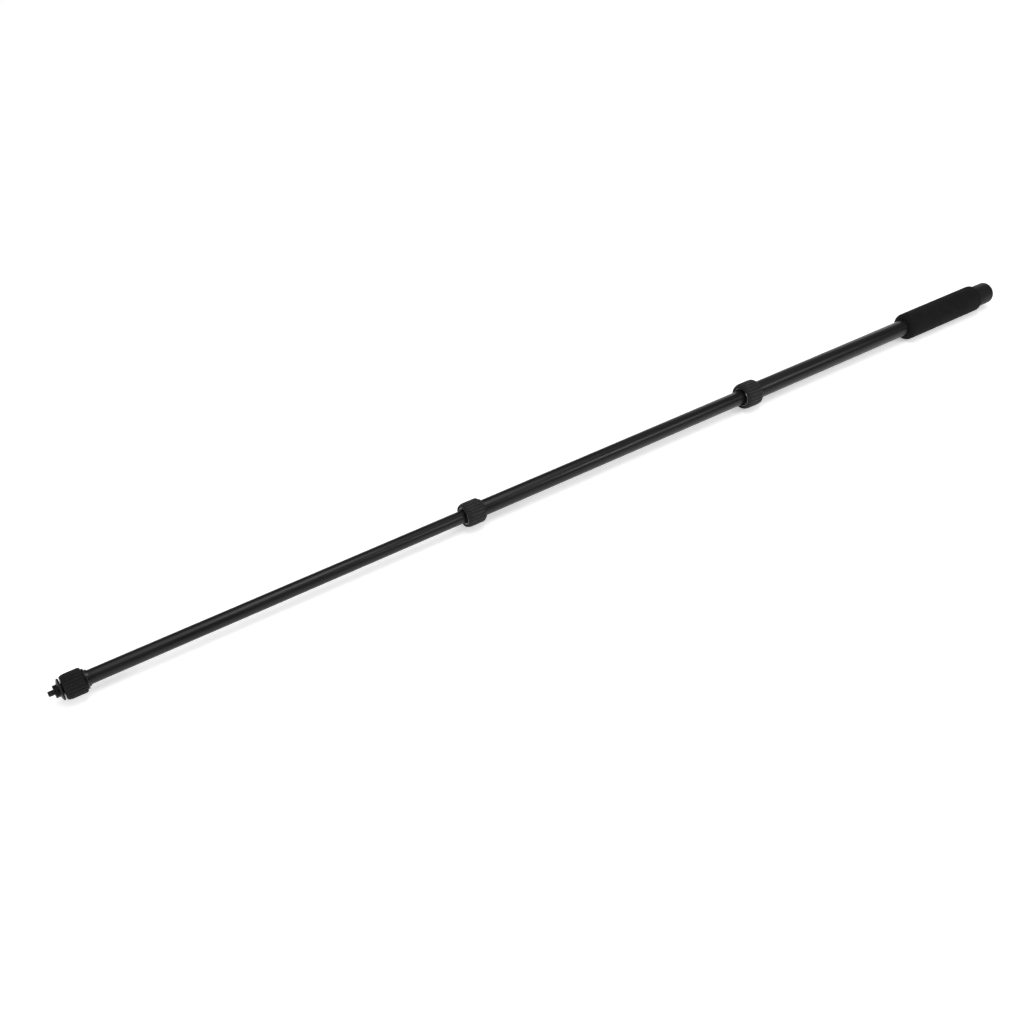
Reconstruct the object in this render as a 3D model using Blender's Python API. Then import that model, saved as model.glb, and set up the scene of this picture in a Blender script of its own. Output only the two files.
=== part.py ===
"""Three-section telescopic boom pole, drawn out and locked, lying along X.

Every piece is turned about the pole axis. Stations are metres from the free
end of the threaded stud; the pole's middle is at X = 0 and its axis is one
grip radius above the floor.
"""

import math

import bmesh
import bpy

# Whole pole
POLE_LENGTH = 1.487
AXIS_HEIGHT = 0.020
ROUND_SEGMENTS = 40
HIDDEN_SEGMENTS = 28
SHARP_ANGLE = math.radians(35.0)
GAP = 0.0003

# Tubes: outer and bore radius of each section, thickest first
OUTER_TUBE_R = 0.0120
MIDDLE_TUBE_R = 0.0100
INNER_TUBE_R = 0.0080
TUBE_WALL = 0.0009
OUTER_TUBE_END = 1.4770

# Front of each lock nut, and its length
TIP_NUT_AT = 0.0153
TIP_NUT_LENGTH = 0.0219
MIDDLE_NUT_AT = 0.5032
MIDDLE_NUT_LENGTH = 0.0245
OUTER_NUT_AT = 0.9596
OUTER_NUT_LENGTH = 0.0268

# Lock nut: barrel, ribs and front recess
TIP_NUT_R = 0.01405
MIDDLE_NUT_R = 0.0154
OUTER_NUT_R = 0.0181
LIP_RATIO = 0.865
REAR_RATIO = 0.880
NUT_FRONT_RISE = 0.0072
NUT_REAR_ROUND = 0.0030
NUT_ARC_STEPS = 4
RIB_DEPTH = 0.00055
RIB_COUNT = 24
RECESS_STEP = 0.0010
RECESS_DEPTH = 0.0018
FRONT_WALL_END = 0.0038
MOUTH_CLEARANCE = 0.0012
CAVITY_CLEARANCE = 0.0027

# Glossy ring in the nut's recess: its ridge, its two sloping faces and its back
BEZEL_RIDGE_AT = 0.0001
BEZEL_RIDGE_INSET = 0.0015
BEZEL_RIM_AT = 0.0013
BEZEL_MOUTH_AT = 0.0010
BEZEL_BACK = 0.0016

# Slip ring and split collet, measured from the nut's front
SLIP_RING_FROM = 0.0041
SLIP_RING_TO = 0.0049
SLIP_RING_BORE_CLEARANCE = 0.0006
SLIP_RING_RIM = 0.0019
COLLET_FLANGE_FROM = 0.0052
COLLET_FLANGE_TO = 0.0067
COLLET_FLANGE_RIM = 0.0016
COLLET_END = 0.0180
COLLET_TAPER = 0.0010
COLLET_SLOT_FROM = 0.0085
COLLET_SLOT_WIDTH = 0.0008
COLLET_SLOT_ANGLES = (0.0, 90.0)
COLLET_SLOT_OVERRUN = 0.0050

# Threaded ferrule bonded on the tube's mouth, measured from the nut's front
FERRULE_FRONT = 0.0092
FERRULE_CHAMFER = 0.0004
FERRULE_STEP = 0.0200
FERRULE_SHOULDER = 0.0007
THREAD_HEIGHT = 0.0024
FLANGE_GAP = 0.0004
FLANGE_WIDTH = 0.0020
FLANGE_EDGE = 0.0003
TIP_FLANGE_R = 0.0115
MIDDLE_FLANGE_R = 0.0128
OUTER_FLANGE_R = 0.0151
TUBE_MOUTH = 0.0203

# Low collar behind the tip ferrule's flange
TIP_COLLAR_WIDTH = 0.0026
TIP_COLLAR_R = 0.0093

# Guide bush on the inner end of each sliding tube
BUSH_STOP_GAP = 0.0006
MIDDLE_BUSH_LENGTH = 0.0450
INNER_BUSH_LENGTH = 0.0400
BUSH_CLEARANCE = 0.00025
BUSH_LIP = 0.0015

# Microphone adaptor
STUD_R = 0.003175
STUD_CHAMFER = 0.0004
STUD_END = 0.0330
SHOULDER_AT = 0.0062
SHOULDER_END = 0.0104
SHOULDER_R = 0.0070
SHOULDER_EDGE = 0.0004
DISC_AT = 0.0107
DISC_END = 0.0140
DISC_R = 0.0120
DISC_FACE_R = 0.0085
DISC_CONE = 0.0014
DISC_EDGE = 0.0004
SPIGOT_R = 0.0060
SPIGOT_END = 0.0600
SPIGOT_BORE_END = 0.0334

# Foam grip
GRIP_AT = 1.2924
GRIP_END = 1.4562
GRIP_R = 0.0200
GRIP_END_R = 0.0130
GRIP_ROUND = 0.0070
GRIP_ARC_STEPS = 5

# End cap and the plug behind it
CAP_AT = 1.4566
CAP_R = 0.0163
CAP_FRONT_EDGE = 0.0006
CAP_ROUND = 0.0040
CAP_ARC_STEPS = 4
CAP_FLOOR_AT = 1.4788
PLUG_AT = 1.4590
PLUG_HEAD_AT = 1.4773
PLUG_END = 1.4785

# Material looks: base colour, metallic, roughness
LOOKS = {
    "black_anodised": ((0.030, 0.030, 0.032), 0.75, 0.42),
    "ribbed_nut": ((0.022, 0.022, 0.023), 0.0, 0.55),
    "gloss_bezel": ((0.030, 0.030, 0.030), 0.0, 0.15),
    "ferrule": ((0.045, 0.045, 0.047), 0.80, 0.35),
    "nylon": ((0.62, 0.61, 0.57), 0.0, 0.50),
    "black_slip": ((0.03, 0.03, 0.03), 0.0, 0.40),
    "bush_plastic": ((0.10, 0.10, 0.11), 0.0, 0.50),
    "foam": ((0.017, 0.017, 0.018), 0.0, 0.90),
    "cap_rubber": ((0.030, 0.030, 0.032), 0.0, 0.60),
    "adaptor_metal": ((0.035, 0.035, 0.037), 0.85, 0.35),
    "stud_steel": ((0.36, 0.36, 0.37), 1.0, 0.30),
    "plug_plastic": ((0.05, 0.05, 0.05), 0.0, 0.60),
}


def clear_scene():
    for obj in list(bpy.data.objects):
        bpy.data.objects.remove(obj, do_unlink=True)


def material(node, look):
    """The node's own Principled material."""
    colour, metallic, roughness = LOOKS[look]
    made = bpy.data.materials.new(node)
    made.use_nodes = True
    shader = made.node_tree.nodes["Principled BSDF"]
    shader.inputs["Base Color"].default_value = (*colour, 1.0)
    shader.inputs["Metallic"].default_value = metallic
    shader.inputs["Roughness"].default_value = roughness
    return made


def ring(mesh, station, radius, groove, segments):
    """One circle of points about the axis, or a single point where the outline meets the axis."""
    if radius == 0.0:
        return [mesh.verts.new((station, 0.0, 0.0))]
    points = []
    for step in range(segments):
        angle = 2.0 * math.pi * step / segments
        reach = radius - groove * (step % 2)
        points.append(mesh.verts.new((station, reach * math.cos(angle), reach * math.sin(angle))))
    return points


def join_rings(mesh, first, second):
    count = max(len(first), len(second))
    if count == 1:
        return
    for step in range(count):
        after = (step + 1) % count
        corners = [first[step % len(first)], first[after % len(first)]]
        corners += [second[after % len(second)], second[step % len(second)]]
        mesh.faces.new(list(dict.fromkeys(corners)))


def turned(name, outline, look, segments=ROUND_SEGMENTS):
    """A solid turned about the pole axis.

    The outline is a closed loop of (station, radius) or (station, radius, groove);
    a groove sinks every second point of its circle, which cuts ribs. The object's
    origin is on the axis, at the outline's first station.
    """
    origin = outline[0][0]
    mesh = bmesh.new()
    rings = []
    for station, radius, *groove in outline:
        depth = groove[0] if groove else 0.0
        rings.append(ring(mesh, station - origin, radius, depth, segments))
    for index, current in enumerate(rings):
        join_rings(mesh, current, rings[(index + 1) % len(rings)])
    bmesh.ops.recalc_face_normals(mesh, faces=mesh.faces)
    data = bpy.data.meshes.new(name)
    mesh.to_mesh(data)
    mesh.free()
    data.shade_smooth()
    data.set_sharp_from_angle(angle=SHARP_ANGLE)
    made = bpy.data.objects.new(name, data)
    made.location = (origin - POLE_LENGTH / 2.0, 0.0, AXIS_HEIGHT)
    made.data.materials.append(material(name, look))
    bpy.context.scene.collection.objects.link(made)
    return made


def arc(start, end, steps, rising):
    """Quarter-ellipse from start to end, both (station, radius), with both ends included."""
    points = []
    for step in range(steps + 1):
        angle = math.pi / 2.0 * step / steps
        along = 1.0 - math.cos(angle) if rising else math.sin(angle)
        across = math.sin(angle) if rising else 1.0 - math.cos(angle)
        points.append((
            start[0] + (end[0] - start[0]) * along,
            start[1] + (end[1] - start[1]) * across,
        ))
    return points


def sleeve(name, start, end, bore, radius, look, edge=0.0, segments=ROUND_SEGMENTS):
    """A plain ring or tube, with an optional chamfer on its outer edges."""
    outline = [(start, bore), (start, radius - edge), (end, radius - edge), (end, bore)]
    if edge:
        outline[2:2] = [(start + edge, radius), (end - edge, radius)]
    return turned(name, outline, look, segments)


def cut_slot(target, start, end, angle):
    """Cuts one slot through the axis, open at its rear end."""
    mesh = bmesh.new()
    bmesh.ops.create_cube(mesh, size=1.0)
    data = bpy.data.meshes.new(target.name + "_slot_cutter")
    mesh.to_mesh(data)
    mesh.free()
    cutter = bpy.data.objects.new(data.name, data)
    cutter.location = ((start + end - POLE_LENGTH) / 2.0, 0.0, AXIS_HEIGHT)
    cutter.rotation_euler = (math.radians(angle), 0.0, 0.0)
    cutter.scale = (end - start, 4.0 * OUTER_TUBE_R, COLLET_SLOT_WIDTH)
    cutter.hide_render = True
    cutter.display_type = "WIRE"
    bpy.context.scene.collection.objects.link(cutter)
    boolean = target.modifiers.new("slot", "BOOLEAN")
    boolean.operation = "DIFFERENCE"
    boolean.solver = "EXACT"
    boolean.object = cutter


def lock_nut(name, at, length, radius, held_r, holder_r):
    """Ribbed barrel nut, open at the rear, with a mouth and a stepped recess at the front."""
    lip = radius * LIP_RATIO
    recess = lip - RECESS_STEP
    cavity = holder_r + CAVITY_CLEARANCE
    mouth = held_r + MOUTH_CLEARANCE
    front = arc((at, lip), (at + NUT_FRONT_RISE, radius), NUT_ARC_STEPS, True)
    back_from = (at + length - NUT_REAR_ROUND, radius)
    back = arc(back_from, (at + length, radius * REAR_RATIO), NUT_ARC_STEPS, False)
    barrel = [(x, r, RIB_DEPTH) for x, r in front[1:] + back[:-1]]
    outline = [front[0], *barrel, back[-1]]
    outline += [(at + length, cavity), (at + FRONT_WALL_END, cavity)]
    outline += [(at + FRONT_WALL_END, mouth), (at + RECESS_DEPTH, mouth)]
    outline += [(at + RECESS_DEPTH, recess), (at, recess)]
    turned(name, outline, "ribbed_nut", 2 * RIB_COUNT)


def nut_bezel(name, at, nut_r, held_r):
    """Glossy ridged ring that fills the nut's front recess."""
    rim = nut_r * LIP_RATIO - RECESS_STEP - GAP
    mouth = held_r + MOUTH_CLEARANCE
    outline = [(at + BEZEL_RIDGE_AT, rim - BEZEL_RIDGE_INSET), (at + BEZEL_RIM_AT, rim)]
    outline += [(at + BEZEL_BACK, rim), (at + BEZEL_BACK, mouth), (at + BEZEL_MOUTH_AT, mouth)]
    turned(name, outline, "gloss_bezel")


def collet(name, at, held_r, holder_r):
    """Split clamping sleeve: a flange that the slip ring pushes and a slotted cone."""
    bore = held_r + GAP
    outline = [(at + COLLET_FLANGE_FROM, bore), (at + COLLET_FLANGE_FROM, holder_r + COLLET_FLANGE_RIM)]
    outline += [(at + COLLET_FLANGE_TO, holder_r + COLLET_FLANGE_RIM), (at + COLLET_FLANGE_TO, holder_r)]
    outline += [(at + COLLET_END, holder_r - COLLET_TAPER), (at + COLLET_END, bore)]
    made = turned(name, outline, "nylon", HIDDEN_SEGMENTS)
    for angle in COLLET_SLOT_ANGLES:
        cut_slot(made, at + COLLET_SLOT_FROM, at + COLLET_END + COLLET_SLOT_OVERRUN, angle)


def ferrule(name, at, nut_length, holder_r, flange_r, collar):
    """Threaded sleeve bonded over the tube's mouth; its cone squeezes the collet.

    The collar is the (station, radius) outline of a low ring behind the flange, or empty.
    """
    slope = COLLET_TAPER / (COLLET_END - COLLET_FLANGE_TO)
    cone_front = holder_r + GAP - slope * (FERRULE_FRONT - COLLET_FLANGE_TO)
    shoulder = holder_r - FERRULE_SHOULDER
    thread = holder_r + THREAD_HEIGHT
    flange_at = at + nut_length + FLANGE_GAP
    flange_end = flange_at + FLANGE_WIDTH
    outline = [(at + FERRULE_FRONT, cone_front), (at + FERRULE_FRONT, thread - FERRULE_CHAMFER)]
    outline += [(at + FERRULE_FRONT + FERRULE_CHAMFER, thread), (flange_at, thread)]
    outline += [(flange_at, flange_r - FLANGE_EDGE), (flange_at + FLANGE_EDGE, flange_r)]
    outline += [(flange_end - FLANGE_EDGE, flange_r), (flange_end, flange_r - FLANGE_EDGE)]
    outline += [(flange_end + x, r) for x, r in collar]
    outline += [(outline[-1][0], holder_r + GAP), (at + FERRULE_STEP, holder_r + GAP)]
    outline += [(at + FERRULE_STEP, shoulder), (at + COLLET_END, shoulder)]
    turned(name, outline, "ferrule")


def lock(prefix, at, nut_length, nut_r, flange_r, held_r, holder_r, collar=()):
    """One twist lock: a tube's mouth (holder) clamping the piece that slides in it (held)."""
    lock_nut(prefix + "_lock_nut", at, nut_length, nut_r, held_r, holder_r)
    nut_bezel(prefix + "_nut_bezel", at, nut_r, held_r)
    sleeve(
        prefix + "_slip_ring",
        at + SLIP_RING_FROM,
        at + SLIP_RING_TO,
        held_r + SLIP_RING_BORE_CLEARANCE,
        holder_r + SLIP_RING_RIM,
        "black_slip",
        segments=HIDDEN_SEGMENTS,
    )
    collet(prefix + "_collet", at, held_r, holder_r)
    ferrule(prefix + "_ferrule", at, nut_length, holder_r, flange_r, collar)


def tube(name, start, end, radius):
    sleeve(name, start, end, radius - TUBE_WALL, radius, "black_anodised")


def guide_bush(name, start, length, held_r, holder_r):
    """Sleeve on the tube's inner end, with a lip turned in over the end of the tube."""
    bore = held_r + BUSH_CLEARANCE
    rim = holder_r - TUBE_WALL - BUSH_CLEARANCE
    lip_from = start + length + GAP
    lip_bore = held_r - TUBE_WALL
    outline = [(start, bore), (start, rim), (lip_from + BUSH_LIP, rim)]
    outline += [(lip_from + BUSH_LIP, lip_bore), (lip_from, lip_bore), (lip_from, bore)]
    turned(name, outline, "bush_plastic", HIDDEN_SEGMENTS)


def sliding_section(prefix, own_lock_at, next_lock_at, bush_length, radius, holder_r):
    """A tube from its own lock into the next tube, and the bush that guides and stops it there."""
    bush_at = next_lock_at + COLLET_END + BUSH_STOP_GAP
    tube(prefix + "_tube", own_lock_at + TUBE_MOUTH, bush_at + bush_length, radius)
    guide_bush(prefix + "_guide_bush", bush_at, bush_length, radius, holder_r)


def adaptor():
    """Removable microphone adaptor: stud, shoulder ring and spigot with its disc."""
    stud_tip = STUD_R - STUD_CHAMFER
    stud = [(0.0, 0.0), (0.0, stud_tip), (STUD_CHAMFER, STUD_R)]
    stud += [(STUD_END - STUD_CHAMFER, STUD_R), (STUD_END, stud_tip), (STUD_END, 0.0)]
    turned("adaptor_stud", stud, "stud_steel")
    bore = STUD_R + GAP
    sleeve("adaptor_shoulder", SHOULDER_AT, SHOULDER_END, bore, SHOULDER_R, "adaptor_metal", SHOULDER_EDGE)
    spigot = [(DISC_AT, bore), (DISC_AT, DISC_FACE_R), (DISC_AT + DISC_CONE, DISC_R)]
    spigot += [(DISC_END - DISC_EDGE, DISC_R), (DISC_END, DISC_R - DISC_EDGE), (DISC_END, SPIGOT_R)]
    spigot += [(SPIGOT_END - STUD_CHAMFER, SPIGOT_R), (SPIGOT_END, SPIGOT_R - STUD_CHAMFER)]
    spigot += [(SPIGOT_END, 0.0), (SPIGOT_BORE_END, 0.0), (SPIGOT_BORE_END, bore)]
    turned("adaptor_spigot", spigot, "adaptor_metal")


def grip():
    bore = OUTER_TUBE_R + GAP
    front = arc((GRIP_AT, GRIP_END_R), (GRIP_AT + GRIP_ROUND, GRIP_R), GRIP_ARC_STEPS, True)
    back = arc((GRIP_END - GRIP_ROUND, GRIP_R), (GRIP_END, GRIP_END_R), GRIP_ARC_STEPS, False)
    turned("foam_grip", [(GRIP_AT, bore), *front, *back, (GRIP_END, bore)], "foam")


def butt_end():
    """End cap pushed over the tube's rear end, and the plug that closes the tube inside it."""
    bore = OUTER_TUBE_R + GAP
    cap = [(CAP_AT, bore), (CAP_AT, CAP_R - CAP_FRONT_EDGE), (CAP_AT + CAP_FRONT_EDGE, CAP_R)]
    cap += arc((POLE_LENGTH - CAP_ROUND, CAP_R), (POLE_LENGTH, CAP_R - CAP_ROUND), CAP_ARC_STEPS, False)
    cap += [(POLE_LENGTH, 0.0), (CAP_FLOOR_AT, 0.0), (CAP_FLOOR_AT, bore)]
    turned("end_cap", cap, "cap_rubber")
    plug_r = OUTER_TUBE_R - TUBE_WALL - GAP
    plug = [(PLUG_AT, 0.0), (PLUG_AT, plug_r), (PLUG_HEAD_AT, plug_r)]
    plug += [(PLUG_HEAD_AT, OUTER_TUBE_R), (PLUG_END, OUTER_TUBE_R), (PLUG_END, 0.0)]
    turned("butt_plug", plug, "plug_plastic", HIDDEN_SEGMENTS)


def main():
    clear_scene()
    tube("outer_tube", OUTER_NUT_AT + TUBE_MOUTH, OUTER_TUBE_END, OUTER_TUBE_R)
    sliding_section("middle", MIDDLE_NUT_AT, OUTER_NUT_AT, MIDDLE_BUSH_LENGTH, MIDDLE_TUBE_R, OUTER_TUBE_R)
    sliding_section("inner", TIP_NUT_AT, MIDDLE_NUT_AT, INNER_BUSH_LENGTH, INNER_TUBE_R, MIDDLE_TUBE_R)
    lock("outer", OUTER_NUT_AT, OUTER_NUT_LENGTH, OUTER_NUT_R, OUTER_FLANGE_R, MIDDLE_TUBE_R, OUTER_TUBE_R)
    lock("middle", MIDDLE_NUT_AT, MIDDLE_NUT_LENGTH, MIDDLE_NUT_R, MIDDLE_FLANGE_R, INNER_TUBE_R, MIDDLE_TUBE_R)
    tip_collar = [(0.0, TIP_COLLAR_R), (TIP_COLLAR_WIDTH, TIP_COLLAR_R)]
    lock("tip", TIP_NUT_AT, TIP_NUT_LENGTH, TIP_NUT_R, TIP_FLANGE_R, SPIGOT_R, INNER_TUBE_R, tip_collar)
    adaptor()
    grip()
    butt_end()


main()
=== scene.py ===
"""Looks for the telescopic boom pole: turned pieces, procedural materials, studio and camera."""

import math

import bmesh
import bpy
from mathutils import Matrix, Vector, noise


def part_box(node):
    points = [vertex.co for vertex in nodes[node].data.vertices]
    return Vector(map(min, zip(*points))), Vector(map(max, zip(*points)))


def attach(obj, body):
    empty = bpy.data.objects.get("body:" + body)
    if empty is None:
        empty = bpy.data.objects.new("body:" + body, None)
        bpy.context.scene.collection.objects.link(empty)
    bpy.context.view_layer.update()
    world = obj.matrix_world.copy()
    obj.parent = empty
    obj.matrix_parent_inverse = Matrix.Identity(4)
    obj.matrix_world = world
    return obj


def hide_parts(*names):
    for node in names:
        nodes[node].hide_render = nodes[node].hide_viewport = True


# Camera, metres and degrees
CAMERA_PLACE = (-0.8006, -0.9181, 0.9098)
CAMERA_AZIMUTH = -34.549
CAMERA_ELEVATION = 39.42
CAMERA_LENS_MM = 40.43

# Light and floor: place, target, size in metres and watts of each softbox
FLOOR_HALF = 60.0
FLOOR_COLOUR = (0.93, 0.93, 0.93)
FLOOR_GLOW = 0.45
WORLD_SEEN = 1.0
WORLD_LIGHT = 0.12
SUN_STRENGTH = 1.1
SUN_SPREAD = math.radians(60.0)
LIGHTS = (
    ("overhead_softbox", (0.1, -0.1, 2.5), (-0.4, 0.0, 0.0), (1.5, 0.5), 14.0),
    ("front_strip", (1.5, -1.8, 1.75), (0.0, 0.0, 0.0), (1.3, 0.6), 20.0),
    ("rear_panel", (5.2, 3.6, 1.7), (0.4, 0.0, 0.0), (3.2, 2.2), 40.0),
    ("glint_box", (-2.2, -0.5, 0.5), (0.0, 0.0, 0.0), (0.35, 0.35), 20.0),
)

# Turned pieces, metres
SEGMENTS = 96
EDGE_STEPS = 3
CORNER_SHARE = 0.45
SHARP_ANGLE = math.radians(40.0)

# Lock nuts
LIP_RATIO = 0.865
REAR_RATIO = 0.880
NUT_FRONT_RISE = 0.0072
NUT_REAR_ROUND = 0.0030
NUT_FRONT_STEPS = 12
NUT_REAR_STEPS = 8
NUT_BARREL_STEPS = 8
RIBS = 24
POINTS_PER_RIB = 12
RIB_DEPTH = 0.00075
RIB_FADE = 0.0016
RECESS_STEP = 0.0010
RECESS_DEPTH = 0.0018
FRONT_WALL_END = 0.0038
MOUTH_CLEARANCE = 0.0012
CAVITY_CLEARANCE = 0.0027
EDGE_RADIUS = 0.0003

# Nut plastic in its grooves and on its crests; the tip copy is darker, painted shade on the same
# plastic
NUT_GREYS_AND_TIP_SHADE = {
    "outer": ((0.013, 0.013, 0.013), (0.034, 0.034, 0.035)),
    "middle": ((0.013, 0.013, 0.013), (0.034, 0.034, 0.035)),
    # painted shade: the tip nut's plastic is darkened
    "tip": ((0.004, 0.004, 0.004), (0.010, 0.010, 0.010)),
}

# Glossy ring, measured from its ridge
BEZEL_RIDGE_INSET = 0.0015
BEZEL_RIM_AT = 0.0012
BEZEL_MOUTH_AT = 0.0009
BEZEL_EDGE = 0.00025

# Stud thread, 1/4 inch with 20 turns to the inch
THREAD_PITCH = 0.00127
THREAD_DEPTH = 0.00045
THREAD_LEAD_IN = 0.0004
THREAD_ROOT_SHARE = 0.15
THREAD_FLANK_SHARE = 0.75
THREAD_CUT_SHARE = 0.999
THREAD_ROWS_PER_TURN = 12
THREAD_SEGMENTS = 48
THREAD_SHARP_ANGLE = math.radians(60.0)

# Foam grip
GRIP_ROWS = 150
GRIP_ROUND = 0.0070
GRIP_END_WALL = 0.0007
GRIP_END_ROWS = 10
GRIP_FULL_WALL = 0.0077
GRIP_SWELL = 0.00012
GRIP_WAVES_ALONG = 28.0
GRIP_WAVES_AROUND = 1.4

# Tubes and ferrules
TUBES = {"outer_tube": "handle", "middle_tube": "middle_section", "inner_tube": "inner_section"}
TUBE_WALL = 0.0009
TUBE_EDGE = 0.0002
TURNED_EDGE = 0.00035
FIT_GAP = 0.0003
FERRULE_SHOULDER = 0.0007
FERRULE_STEP = 0.0108
FERRULE_CONE = 0.0088
FERRULE_PITCH = 0.0020
FERRULE_THREAD_DEPTH = 0.0008
FERRULE_FLANK_SHARE = 0.30
THREAD_HEIGHT = 0.0024
FLANGE_WIDTH = 0.0020
FLANGE_BEVEL = 0.0004
TIP_COLLAR_WIDTH = 0.0026
TIP_COLLAR_R = 0.0093
TIP_COLLAR = ((0.0, TIP_COLLAR_R), (TIP_COLLAR_WIDTH, TIP_COLLAR_R))

# Adaptor and end cap
DISC_WIDTH = 0.0033
DISC_FACE_R = 0.0085
DISC_CONE = 0.0014
SPIGOT_R = 0.0060
SPIGOT_BORE_DEPTH = 0.0227
SHOULDER_GROOVE = 0.0005
CAP_FRONT_EDGE = 0.0006
CAP_FRONT_STEPS = 4
CAP_ROUND = 0.0040
CAP_STEPS = 10

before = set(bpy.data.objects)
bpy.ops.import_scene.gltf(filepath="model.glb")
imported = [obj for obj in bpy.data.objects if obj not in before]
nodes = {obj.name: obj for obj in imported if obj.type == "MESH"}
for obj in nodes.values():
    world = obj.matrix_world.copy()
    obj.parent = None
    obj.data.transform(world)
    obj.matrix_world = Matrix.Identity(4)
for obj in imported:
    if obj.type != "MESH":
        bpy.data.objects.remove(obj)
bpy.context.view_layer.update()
AXIS_HEIGHT = sum(corner.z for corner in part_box("outer_tube")) / 2.0


# ---------------------------------------------------------------- measures


def span(node):
    """A node's front and rear stations along the pole, and its outer radius."""
    low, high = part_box(node)
    return low.x, high.x, (high.z - low.z) / 2.0


# ---------------------------------------------------------------- meshes


def placed(name, mesh, material, body, replaced, sharp=SHARP_ANGLE):
    """Turns a finished bmesh into a smooth piece that stands for a CAD node and rides its body."""
    bmesh.ops.recalc_face_normals(mesh, faces=mesh.faces)
    data = bpy.data.meshes.new(name)
    mesh.to_mesh(data)
    mesh.free()
    data.shade_smooth()
    data.set_sharp_from_angle(angle=sharp)
    piece = bpy.data.objects.new(name, data)
    piece.data.materials.append(material)
    bpy.context.scene.collection.objects.link(piece)
    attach(piece, body)
    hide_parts(replaced)
    return piece


def circle(mesh, station, radius_at, segments):
    """One ring of points about the pole's axis; radius_at(angle) gives its radius."""
    points = []
    for step in range(segments):
        angle = 2.0 * math.pi * step / segments
        reach = radius_at(angle)
        place = (station, reach * math.cos(angle), AXIS_HEIGHT + reach * math.sin(angle))
        points.append(mesh.verts.new(place))
    return points


def bridge(mesh, first, second):
    count = len(first)
    for step in range(count):
        after = (step + 1) % count
        mesh.faces.new((first[step], first[after], second[after], second[step]))


def fan(mesh, rim, station):
    centre = mesh.verts.new((station, 0.0, AXIS_HEIGHT))
    for step, point in enumerate(rim):
        mesh.faces.new((point, rim[(step + 1) % len(rim)], centre))


def lathe(outline, segments=SEGMENTS, close=True):
    """Bmesh turned from (station, radius) points; an open outline gets a fan at each end."""
    mesh = bmesh.new()
    rings = [circle(mesh, x, lambda _angle, r=r: r, segments) for x, r in outline]
    for index in range(len(rings) - 1):
        bridge(mesh, rings[index], rings[index + 1])
    if close:
        bridge(mesh, rings[-1], rings[0])
    else:
        fan(mesh, rings[0], outline[0][0])
        fan(mesh, rings[-1], outline[-1][0])
    return mesh


def softened(outline, radius, steps=EDGE_STEPS, closed=True):
    """The outline with each corner rounded by a small quadratic curve."""
    count = len(outline)
    made = []
    for index, corner in enumerate(outline):
        if not closed and index in (0, count - 1):
            made.append(corner)
            continue
        here = Vector(corner)
        before = Vector(outline[index - 1]) - here
        after = Vector(outline[(index + 1) % count]) - here
        reach = min(radius, before.length * CORNER_SHARE, after.length * CORNER_SHARE)
        start = here + before.normalized() * reach
        end = here + after.normalized() * reach
        for step in range(steps + 1):
            t = step / steps
            point = start * (1 - t) ** 2 + here * 2 * t * (1 - t) + end * t**2
            made.append((point.x, point.y))
    return made


def quarter(start, end, steps, rising):
    """Quarter-ellipse from start to end, both (station, radius), with both ends included."""
    points = []
    for step in range(steps + 1):
        angle = math.pi / 2.0 * step / steps
        along = 1.0 - math.cos(angle) if rising else math.sin(angle)
        across = math.sin(angle) if rising else 1.0 - math.cos(angle)
        points.append((
            start[0] + (end[0] - start[0]) * along,
            start[1] + (end[1] - start[1]) * across,
        ))
    return points


# ---------------------------------------------------------------- materials


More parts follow.
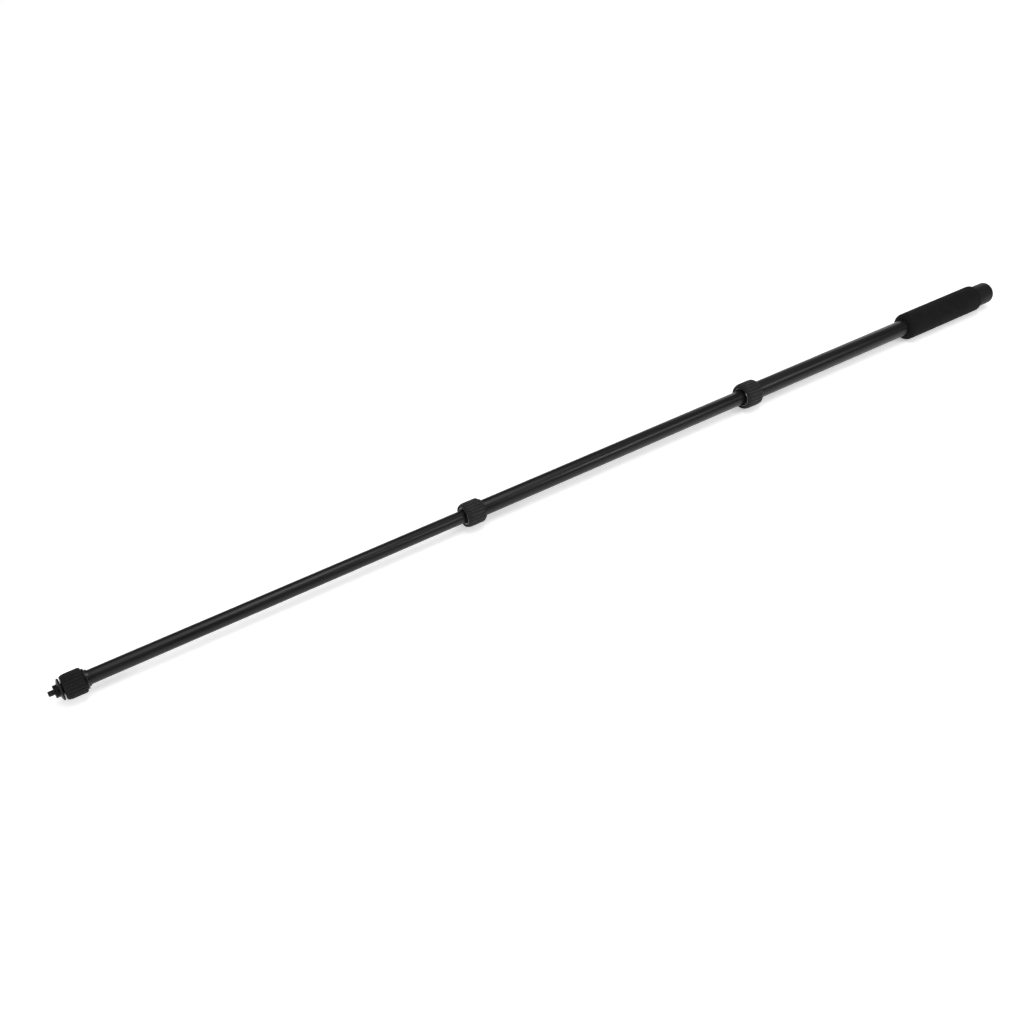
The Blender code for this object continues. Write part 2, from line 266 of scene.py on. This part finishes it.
class Look:
    """A Principled material whose colour, roughness and bump come from procedural textures."""

    def __init__(self, name, roughness=0.5, metallic=0.0, specular=0.5):
        self.material = bpy.data.materials.new(name)
        self.material.use_nodes = True
        self.tree = self.material.node_tree
        self.shader = self.tree.nodes["Principled BSDF"]
        self.shader.inputs["Roughness"].default_value = roughness
        self.shader.inputs["Metallic"].default_value = metallic
        self.shader.inputs["Specular IOR Level"].default_value = specular
        self.where = self.node("ShaderNodeTexCoord").outputs["Object"]
        self.last_normal = None

    def node(self, kind, **settings):
        made = self.tree.nodes.new(kind)
        for key, value in settings.items():
            setattr(made, key, value)
        return made

    def link(self, source, target):
        self.tree.links.new(source, target)

    def stretched(self, scale):
        """Object coordinates about the pole's axis, scaled per axis."""
        mapping = self.node("ShaderNodeMapping")
        mapping.inputs["Location"].default_value = (0.0, 0.0, -AXIS_HEIGHT * scale[2])
        mapping.inputs["Scale"].default_value = scale
        self.link(self.where, mapping.inputs["Vector"])
        return mapping.outputs["Vector"]

    def noise(self, scale, detail=4.0, roughness=0.55):
        made = self.node("ShaderNodeTexNoise")
        made.inputs["Scale"].default_value = 1.0
        made.inputs["Detail"].default_value = detail
        made.inputs["Roughness"].default_value = roughness
        self.link(self.stretched(scale), made.inputs["Vector"])
        return made.outputs["Fac"]

    def cells(self, scale, feature="F1"):
        made = self.node("ShaderNodeTexVoronoi", feature=feature)
        made.inputs["Scale"].default_value = 1.0
        self.link(self.stretched(scale), made.inputs["Vector"])
        return made.outputs["Distance"]

    def radius(self):
        """Distance from the pole's axis, in metres."""
        split = self.node("ShaderNodeSeparateXYZ")
        self.link(self.stretched((1.0, 1.0, 1.0)), split.inputs["Vector"])
        join = self.node("ShaderNodeCombineXYZ")
        self.link(split.outputs["Y"], join.inputs["Y"])
        self.link(split.outputs["Z"], join.inputs["Z"])
        length = self.node("ShaderNodeVectorMath", operation="LENGTH")
        self.link(join.outputs["Vector"], length.inputs[0])
        return length.outputs["Value"]

    def mapped(self, value, low, high, to_low, to_high):
        made = self.node("ShaderNodeMapRange")
        made.inputs["From Min"].default_value = low
        made.inputs["From Max"].default_value = high
        made.inputs["To Min"].default_value = to_low
        made.inputs["To Max"].default_value = to_high
        self.link(value, made.inputs["Value"])
        return made.outputs["Result"]

    def times(self, first, second):
        made = self.node("ShaderNodeMath", operation="MULTIPLY")
        self.link(first, made.inputs[0])
        self.link(second, made.inputs[1])
        return made.outputs["Value"]

    def mixed(self, factor, first, second):
        """Colour mix; each end is a colour or another node's output."""
        made = self.node("ShaderNodeMix", data_type="RGBA")
        self.link(factor, made.inputs["Factor"])
        for colour, socket in ((first, made.inputs[6]), (second, made.inputs[7])):
            if isinstance(colour, tuple):
                socket.default_value = (*colour, 1.0)
            else:
                self.link(colour, socket)
        return made.outputs[2]

    def colour(self, value):
        self.link(value, self.shader.inputs["Base Color"])

    def rough(self, value):
        self.link(value, self.shader.inputs["Roughness"])

    def bump(self, height, strength, depth):
        """Adds one layer of relief, depth in metres, over any earlier one."""
        made = self.node("ShaderNodeBump")
        made.inputs["Strength"].default_value = strength
        made.inputs["Distance"].default_value = depth
        self.link(height, made.inputs["Height"])
        if self.last_normal is not None:
            self.link(self.last_normal, made.inputs["Normal"])
        self.last_normal = made.outputs["Normal"]
        self.link(self.last_normal, self.shader.inputs["Normal"])


def grey(value, tint=0.0):
    """A dark neutral colour, slightly cool where tint is above zero."""
    return (value, value, value * (1.0 + tint))


def anodised_tube():
    """Satin black anodised aluminium: lines drawn along the tube, handling marks, fine grain."""
    look = Look("anodised_tube", specular=0.25)
    drawn = look.noise((5.0, 1400.0, 1400.0), detail=3.0)
    handling = look.noise((14.0, 60.0, 60.0), detail=5.0)
    streaks = look.mapped(drawn, 0.35, 0.7, 0.0, 1.0)
    streaked = look.mixed(streaks, grey(0.0050, 0.04), grey(0.0095, 0.03))
    marked = look.mapped(handling, 0.45, 0.8, 0.0, 0.5)
    look.colour(look.mixed(marked, streaked, grey(0.015)))
    look.rough(look.mapped(look.noise((9.0, 300.0, 300.0)), 0.3, 0.7, 0.27, 0.38))
    look.bump(drawn, 0.25, 0.00002)
    look.bump(look.noise((3500.0, 3500.0, 3500.0), detail=2.0), 0.2, 0.00002)
    return look.material


def turned_metal(name, base, worn, specular, low, high):
    """Lathe-turned black metal: rings round the axis, worn paler by handling."""
    look = Look(name, specular=specular)
    rings = look.noise((5200.0, 18.0, 18.0), detail=2.0)
    patches = look.noise((160.0, 160.0, 160.0), detail=5.0)
    look.colour(look.mixed(look.mapped(patches, 0.5, 0.85, 0.0, 0.6), base, worn))
    look.rough(look.mapped(rings, 0.3, 0.7, low, high))
    look.bump(rings, 0.3, 0.00002)
    return look.material


def ribbed_plastic(name, crest_radius, base, rubbed):
    """Matte moulded plastic: fine grain, dark grooves, crests rubbed paler and smoother."""
    look = Look(name, specular=0.16)
    crest = look.mapped(look.radius(), crest_radius - RIB_DEPTH, crest_radius, 0.0, 1.0)
    patches = look.mapped(look.noise((240.0, 240.0, 240.0), detail=6.0), 0.35, 0.75, 0.2, 1.0)
    worn = look.times(crest, patches)
    look.colour(look.mixed(worn, base, rubbed))
    look.rough(look.mapped(worn, 0.0, 1.0, 0.62, 0.46))
    look.bump(look.noise((2600.0, 2600.0, 2600.0), detail=3.0), 0.35, 0.00004)
    return look.material


def gloss_ring():
    """Polished black plastic with faint smears and hairline scratches."""
    look = Look("gloss_ring", specular=0.55)
    smears = look.noise((220.0, 90.0, 90.0), detail=5.0)
    scratches = look.noise((4000.0, 40.0, 40.0), detail=2.0)
    look.colour(look.mixed(look.mapped(smears, 0.4, 0.8, 0.0, 1.0), grey(0.004), grey(0.009)))
    look.rough(look.mapped(smears, 0.35, 0.75, 0.10, 0.24))
    look.bump(scratches, 0.12, 0.00001)
    return look.material


def foam():
    """Closed-cell black foam: open-cut pores with painted shade in them, soft mottling and a faint
    grain.
    """
    look = Look("foam", specular=0.06)
    pores = look.cells((1100.0, 1100.0, 1100.0))
    fine = look.noise((3200.0, 3200.0, 3200.0), detail=3.0)
    mottle = look.noise((70.0, 70.0, 70.0), detail=6.0)
    base = look.mixed(look.mapped(mottle, 0.3, 0.7, 0.0, 1.0), grey(0.0080), grey(0.0120, 0.03))
    # painted shade: the pores are coloured darker
    look.colour(look.mixed(look.mapped(pores, 0.05, 0.35, 0.55, 0.0), base, grey(0.0035)))
    look.rough(look.mapped(fine, 0.3, 0.7, 0.82, 0.95))
    look.bump(pores, 0.5, 0.00022)
    look.bump(fine, 0.3, 0.00008)
    look.shader.inputs["Sheen Weight"].default_value = 0.02
    look.shader.inputs["Sheen Roughness"].default_value = 0.5
    return look.material


def cap_rubber():
    """Smooth moulded rubber: fine spark-eroded grain and a few paler scuffs."""
    look = Look("cap_rubber", specular=0.17)
    grain = look.noise((2200.0, 2200.0, 2200.0), detail=2.0)
    scuffs = look.noise((90.0, 260.0, 260.0), detail=6.0)
    paler = look.mapped(scuffs, 0.55, 0.8, 0.0, 0.8)
    look.colour(look.mixed(paler, grey(0.0070, 0.02), grey(0.0160)))
    look.rough(look.mapped(scuffs, 0.3, 0.8, 0.46, 0.62))
    look.bump(grain, 0.3, 0.00004)
    return look.material


def stud_metal():
    """Blackened steel: thread roots stay black, crests are rubbed to bare metal in places."""
    look = Look("stud_metal", specular=0.25, metallic=0.3)
    _, _, crest_radius = span("adaptor_stud")
    crest = look.mapped(look.radius(), crest_radius - THREAD_DEPTH * 0.5, crest_radius, 0.0, 1.0)
    patches = look.mapped(look.noise((500.0, 500.0, 500.0), detail=5.0), 0.4, 0.7, 0.1, 0.8)
    worn = look.times(crest, patches)
    look.colour(look.mixed(worn, grey(0.007, 0.03), grey(0.045)))
    look.rough(look.mapped(worn, 0.0, 1.0, 0.45, 0.30))
    look.bump(look.noise((3000.0, 3000.0, 3000.0)), 0.15, 0.00002)
    return look.material


def moulded_plastic(name, base, deep, low, high):
    """Plain moulded plastic of an inside piece: flow marks along it and a fine grain."""
    look = Look(name, specular=0.45)
    flow = look.noise((60.0, 420.0, 420.0), detail=4.0)
    look.colour(look.mixed(look.mapped(flow, 0.35, 0.7, 0.0, 1.0), deep, base))
    look.rough(look.mapped(flow, 0.3, 0.7, low, high))
    look.bump(look.noise((1800.0, 1800.0, 1800.0), detail=2.0), 0.2, 0.00003)
    return look.material


def floor_paint():
    """Plain pale studio floor with the faintest unevenness."""
    look = Look("studio_floor", roughness=0.85, specular=0.1)
    uneven = look.noise((0.8, 0.8, 0.8), detail=2.0)
    look.colour(look.mixed(uneven, FLOOR_COLOUR, tuple(0.99 * value for value in FLOOR_COLOUR)))
    look.shader.inputs["Emission Color"].default_value = (1.0, 1.0, 1.0, 1.0)
    look.shader.inputs["Emission Strength"].default_value = FLOOR_GLOW
    return look.material


# ---------------------------------------------------------------- pieces


def ribbed_nut(prefix, body, held_radius, holder_radius):
    """Barrel nut with rounded ribs, a stepped front recess and an open rear."""
    node = prefix + "_lock_nut"
    front, rear, radius = span(node)
    lip = radius * LIP_RATIO
    recess = lip - RECESS_STEP
    mouth = held_radius + MOUTH_CLEARANCE
    cavity = holder_radius + CAVITY_CLEARANCE
    barrel_from = front + NUT_FRONT_RISE
    barrel_to = rear - NUT_REAR_ROUND
    outside = quarter((front, lip), (barrel_from, radius), NUT_FRONT_STEPS, True)
    for step in range(1, NUT_BARREL_STEPS):
        outside.append((barrel_from + (barrel_to - barrel_from) * step / NUT_BARREL_STEPS, radius))
    outside += quarter((barrel_to, radius), (rear, radius * REAR_RATIO), NUT_REAR_STEPS, False)
    inside = [(rear, cavity), (front + FRONT_WALL_END, cavity)]
    inside += [(front + FRONT_WALL_END, mouth), (front + RECESS_DEPTH, mouth)]
    inside += [(front + RECESS_DEPTH, recess), (front, recess)]
    inside = softened([outside[-1], *inside, outside[0]], EDGE_RADIUS, closed=False)[1:-1]
    mesh = bmesh.new()
    rings = []
    for station, reach in outside:
        from_end = min(station - front, rear - station)
        depth = RIB_DEPTH * min(1.0, from_end / RIB_FADE)
        rings.append(circle(mesh, station, rib_radius(reach, depth), RIBS * POINTS_PER_RIB))
    for station, reach in inside:
        rings.append(circle(mesh, station, rib_radius(reach, 0.0), RIBS * POINTS_PER_RIB))
    for index, ring in enumerate(rings):
        bridge(mesh, ring, rings[(index + 1) % len(rings)])
    # the tip nut's greys carry painted shade
    look = ribbed_plastic(prefix + "_nut_plastic", radius, *NUT_GREYS_AND_TIP_SHADE[prefix])
    return placed(prefix + "_ribbed_nut", mesh, look, body, node)


def rib_radius(reach, depth):
    """Radius at an angle: broad rounded crests with narrower grooves between them."""

    def at(angle):
        wave = 0.5 - 0.5 * math.cos(RIBS * angle)
        return reach - depth * wave**2

    return at


def bezel(prefix, body, held_radius):
    """Glossy ring in the nut's recess: two sloping faces that meet in a soft ridge."""
    front, rear, rim = span(prefix + "_nut_bezel")
    mouth = held_radius + MOUTH_CLEARANCE
    outline = [(front, rim - BEZEL_RIDGE_INSET), (front + BEZEL_RIM_AT, rim), (rear, rim)]
    outline += [(rear, mouth), (front + BEZEL_MOUTH_AT, mouth)]
    mesh = lathe(softened(outline, BEZEL_EDGE))
    return placed(prefix + "_bezel_ring", mesh, GLOSS, body, prefix + "_nut_bezel")


def smooth_tube(node, body, wall):
    front, rear, radius = span(node)
    outline = [(front, radius - wall), (front, radius), (rear, radius), (rear, radius - wall)]
    mesh = lathe(softened(outline, TUBE_EDGE))
    return placed(node + "_drawn", mesh, TUBE, body, node)


def ferrule(prefix, body, holder_radius, collar=()):
    """Ferrule with a conical seat, a turned thread, a flange and, at the tip, a low collar."""
    node = prefix + "_ferrule"
    front, rear, flange = span(node)
    bore = holder_radius + FIT_GAP
    cone = holder_radius - FERRULE_SHOULDER
    thread = holder_radius + THREAD_HEIGHT
    flange_end = rear - max((x for x, _ in collar), default=0.0)
    flange_at = flange_end - FLANGE_WIDTH
    outline = [(front, holder_radius), (front, thread)]
    turns = int((flange_at - front) / FERRULE_PITCH)
    flank = FERRULE_PITCH * FERRULE_FLANK_SHARE
    for turn in range(1, turns):
        root_at = front + turn * FERRULE_PITCH
        outline += [(root_at - flank, thread), (root_at, thread - FERRULE_THREAD_DEPTH)]
        outline += [(root_at + flank, thread)]
    outline += [(flange_at, thread), (flange_at, flange - FLANGE_BEVEL)]
    outline += [(flange_at + FLANGE_BEVEL, flange)]
    outline += [(flange_end - FLANGE_BEVEL, flange), (flange_end, flange - FLANGE_BEVEL)]
    outline += [(flange_end + x, r) for x, r in collar]
    outline += [(rear, bore), (front + FERRULE_STEP, bore), (front + FERRULE_STEP, cone)]
    outline += [(front + FERRULE_CONE, cone)]
    mesh = lathe(softened(outline, TURNED_EDGE))
    return placed(prefix + "_ferrule_turned", mesh, FERRULE_METAL, body, node)


def stud():
    """Threaded stud with a real helical thread and a chamfered tip."""
    front, rear, radius = span("adaptor_stud")
    rows = int((rear - front) / THREAD_PITCH * THREAD_ROWS_PER_TURN)
    mesh = bmesh.new()
    rings = []
    for row in range(rows + 1):
        station = front + (rear - front) * row / rows
        from_end = min(station - front, rear - station)
        lead_in = min(1.0, from_end / THREAD_LEAD_IN)
        crest = radius - THREAD_DEPTH * (1.0 - lead_in)
        radius_at = thread_radius(station - front, crest, lead_in)
        rings.append(circle(mesh, station, radius_at, THREAD_SEGMENTS))
    for index in range(rows):
        bridge(mesh, rings[index], rings[index + 1])
    fan(mesh, rings[0], front)
    fan(mesh, rings[-1], rear)
    return placed("stud_threaded", mesh, STUD, "adaptor", "adaptor_stud", THREAD_SHARP_ANGLE)


def thread_radius(along, crest, depth_share):
    """Radius at an angle of a right-hand thread, with flat crests and sloping flanks."""

    def at(angle):
        phase = (along / THREAD_PITCH - angle / (2.0 * math.pi)) % 1.0
        from_root = abs(2.0 * phase - 1.0)
        flank = min(1.0, max(0.0, (from_root - THREAD_ROOT_SHARE) / THREAD_FLANK_SHARE))
        return crest - THREAD_DEPTH * THREAD_CUT_SHARE * depth_share * (1.0 - flank)

    return at


def adaptor_metalwork():
    """Shoulder ring and spigot with its disc, edges broken as a lathe leaves them."""
    _, _, stud_radius = span("adaptor_stud")
    bore = stud_radius + FIT_GAP
    front, rear, radius = span("adaptor_shoulder")
    groove_at = (front + rear) / 2.0
    outline = [(front, bore), (front, radius), (groove_at - SHOULDER_GROOVE, radius)]
    outline += [(groove_at, radius - SHOULDER_GROOVE), (groove_at + SHOULDER_GROOVE, radius)]
    outline += [(rear, radius), (rear, bore)]
    mesh = lathe(softened(outline, TURNED_EDGE))
    placed("shoulder_turned", mesh, ADAPTOR_METAL, "adaptor", "adaptor_shoulder")
    front, rear, disc = span("adaptor_spigot")
    disc_end = front + DISC_WIDTH
    outline = [(front + SPIGOT_BORE_DEPTH, bore), (front, bore), (front, DISC_FACE_R)]
    outline += [(front + DISC_CONE, disc), (disc_end, disc)]
    outline += [(disc_end, SPIGOT_R), (rear, SPIGOT_R)]
    mesh = lathe(softened(outline, TURNED_EDGE, closed=False), close=False)
    placed("spigot_turned", mesh, ADAPTOR_METAL, "adaptor", "adaptor_spigot")


def foam_grip():
    """Foam sleeve with rounded ends and the slight waviness of stretched foam."""
    front, rear, radius = span("foam_grip")
    bore = span("outer_tube")[2] + FIT_GAP
    wall = bore + GRIP_END_WALL
    mesh = bmesh.new()
    profile = quarter((front, wall), (front + GRIP_ROUND, radius), GRIP_END_ROWS, True)
    straight_from = front + GRIP_ROUND
    straight_to = rear - GRIP_ROUND
    for row in range(1, GRIP_ROWS):
        profile.append((straight_from + (straight_to - straight_from) * row / GRIP_ROWS, radius))
    profile += quarter((straight_to, radius), (rear, wall), GRIP_END_ROWS, False)
    rings = [circle(mesh, x, foam_radius(x, r, bore), SEGMENTS) for x, r in profile]
    rings.append(circle(mesh, rear, lambda _angle: bore, SEGMENTS))
    rings.append(circle(mesh, front, lambda _angle: bore, SEGMENTS))
    for index, ring in enumerate(rings):
        bridge(mesh, ring, rings[(index + 1) % len(rings)])
    piece = placed("foam_sleeve", mesh, FOAM, "handle", "foam_grip")


def foam_radius(station, reach, bore):
    """Radius at an angle, dented a little by smooth noise, never past the plain shape."""
    share = (reach - bore) / GRIP_FULL_WALL

    def at(angle):
        across = math.cos(angle) * GRIP_WAVES_AROUND
        upward = math.sin(angle) * GRIP_WAVES_AROUND
        dent = 0.5 + 0.5 * noise.noise(Vector((station * GRIP_WAVES_ALONG, across, upward)))
        return reach - GRIP_SWELL * share * dent

    return at


def end_cap():
    """Moulded cap with a rolled front edge and a rounded rear edge."""
    front, rear, radius = span("end_cap")
    bore = span("outer_tube")[2] + FIT_GAP
    floor_at = span("butt_plug")[1] + FIT_GAP
    edge_from = (front, radius - CAP_FRONT_EDGE)
    edge_to = (front + CAP_FRONT_EDGE, radius)
    outline = [(floor_at, bore), (front, bore)]
    outline += quarter(edge_from, edge_to, CAP_FRONT_STEPS, True)
    outline += quarter((rear - CAP_ROUND, radius), (rear, radius - CAP_ROUND), CAP_STEPS, False)
    mesh = lathe(outline, close=False)
    return placed("end_cap_moulded", mesh, CAP, "handle", "end_cap")


def inside_pieces():
    """CAD nodes whose shape is right keep it and take a better material."""
    nylon = moulded_plastic("nylon", (0.60, 0.58, 0.53), (0.50, 0.48, 0.43), 0.38, 0.55)
    slip = moulded_plastic("slip_plastic", (0.012, 0.012, 0.012), (0.008, 0.008, 0.008), 0.28, 0.42)
    bush = moulded_plastic("bush_plastic", (0.085, 0.085, 0.09), (0.06, 0.06, 0.064), 0.40, 0.55)
    plug = moulded_plastic("plug_plastic", (0.045, 0.045, 0.045), (0.03, 0.03, 0.03), 0.45, 0.60)
    looks = {"butt_plug": plug, "middle_guide_bush": bush, "inner_guide_bush": bush}
    for prefix in ("outer", "middle", "tip"):
        looks[prefix + "_collet"] = nylon
        looks[prefix + "_slip_ring"] = slip
    for node, look in looks.items():
        for material_slot in nodes[node].material_slots:
            material_slot.material = look


def lock(prefix, nut_body, holder_body, held_radius, holder_radius, collar=()):
    ribbed_nut(prefix, nut_body, held_radius, holder_radius)
    bezel(prefix, nut_body, held_radius)
    ferrule(prefix, holder_body, holder_radius, collar)


# ---------------------------------------------------------------- studio


def floor():
    mesh = bmesh.new()
    bmesh.ops.create_grid(mesh, x_segments=1, y_segments=1, size=FLOOR_HALF)
    data = bpy.data.meshes.new("studio_floor")
    mesh.to_mesh(data)
    mesh.free()
    made = bpy.data.objects.new("studio_floor", data)
    made.data.materials.append(floor_paint())
    bpy.context.scene.collection.objects.link(made)


def aim(obj, place, target):
    """Stands obj at place, looking at target, with no roll."""
    obj.location = place
    obj.rotation_euler = (Vector(target) - Vector(place)).to_track_quat("-Z", "Y").to_euler()


def soft_light(name, place, target, size, watts):
    data = bpy.data.lights.new(name, "AREA")
    data.shape = "RECTANGLE"
    data.size, data.size_y = size
    data.energy = watts
    made = bpy.data.objects.new(name, data)
    aim(made, place, target)
    bpy.context.scene.collection.objects.link(made)


def sun():
    """Even, very soft light from straight above, which keeps the whole floor pale."""
    data = bpy.data.lights.new("even_top_light", "SUN")
    data.energy = SUN_STRENGTH
    data.angle = SUN_SPREAD
    made = bpy.data.objects.new("even_top_light", data)
    bpy.context.scene.collection.objects.link(made)


def sky():
    """White to the camera, dimmer as a light, so that the lamps give the tubes their streaks."""
    world = bpy.data.worlds.new("studio")
    world.use_nodes = True
    tree = world.node_tree
    background = tree.nodes["Background"]
    background.inputs["Color"].default_value = (1.0, 1.0, 1.0, 1.0)
    path = tree.nodes.new("ShaderNodeLightPath")
    strength = tree.nodes.new("ShaderNodeMapRange")
    strength.inputs["To Min"].default_value = WORLD_LIGHT
    strength.inputs["To Max"].default_value = WORLD_SEEN
    tree.links.new(path.outputs["Is Camera Ray"], strength.inputs["Value"])
    tree.links.new(strength.outputs["Result"], background.inputs["Strength"])
    bpy.context.scene.world = world


def camera():
    data = bpy.data.cameras.new("view")
    data.lens = CAMERA_LENS_MM
    data.clip_end = 200.0
    made = bpy.data.objects.new("view", data)
    made.location = CAMERA_PLACE
    tilt = math.radians(90.0 - CAMERA_ELEVATION)
    made.rotation_euler = (tilt, 0.0, math.radians(CAMERA_AZIMUTH))
    bpy.context.scene.collection.objects.link(made)
    bpy.context.scene.camera = made


# ---------------------------------------------------------------- scene

TUBE = anodised_tube()
FERRULE_METAL = turned_metal("ferrule_metal", grey(0.006), grey(0.018), 0.30, 0.22, 0.34)
ADAPTOR_METAL = turned_metal("adaptor_metal", grey(0.004), grey(0.011), 0.12, 0.30, 0.45)
GLOSS = gloss_ring()
FOAM = foam()
CAP = cap_rubber()
STUD = stud_metal()

camera()
for tube_node, tube_body in TUBES.items():
    smooth_tube(tube_node, tube_body, TUBE_WALL)
outer_r, middle_r, inner_r = (span(node)[2] for node in TUBES)
lock("outer", "outer_nut", "handle", middle_r, outer_r)
lock("middle", "middle_nut", "middle_section", inner_r, middle_r)
lock("tip", "tip_nut", "inner_section", SPIGOT_R, inner_r, TIP_COLLAR)
stud()
adaptor_metalwork()
foam_grip()
end_cap()
inside_pieces()
floor()
sky()
sun()
for light in LIGHTS:
    soft_light(*light)
bpy.context.scene.view_settings.view_transform = "Standard"
